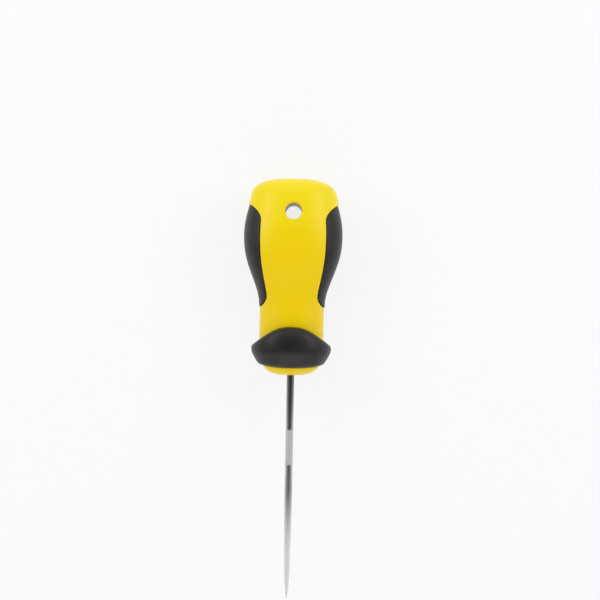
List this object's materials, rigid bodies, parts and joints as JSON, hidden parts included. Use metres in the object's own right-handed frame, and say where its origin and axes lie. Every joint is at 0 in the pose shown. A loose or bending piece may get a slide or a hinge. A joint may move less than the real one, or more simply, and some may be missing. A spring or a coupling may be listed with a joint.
{
  "type": "bradawl",
  "caption": "Short two-colour handled carpenter's awl: round tapering steel blade, bulged handle with soft side grips, front collar and hanging hole.",
  "frame": {"origin": "bottom centre of the bounding box, with the tool lying on its back on bulge and collar", "axes": "+Y along the tool from tip to butt, +Z out of the front face along the hanging hole, +X across the handle to the right"},
  "size_m": [0.033, 0.1406, 0.026],
  "materials": {
    "yellow_plastic": "satin moulded polypropylene",
    "core_plastic": "as moulded, hidden inside the handle",
    "black_rubber": "matt thermoplastic rubber with a fine spark texture",
    "blade_steel": "ground bright, polished towards the tip"
  },
  "bodies": {
    "root": {"handle_body": "yellow_plastic", "handle_core": "core_plastic", "grip_left": "black_rubber", "grip_right": "black_rubber", "front_collar": "black_rubber", "blade": "blade_steel"}
  },
  "joints": []
}
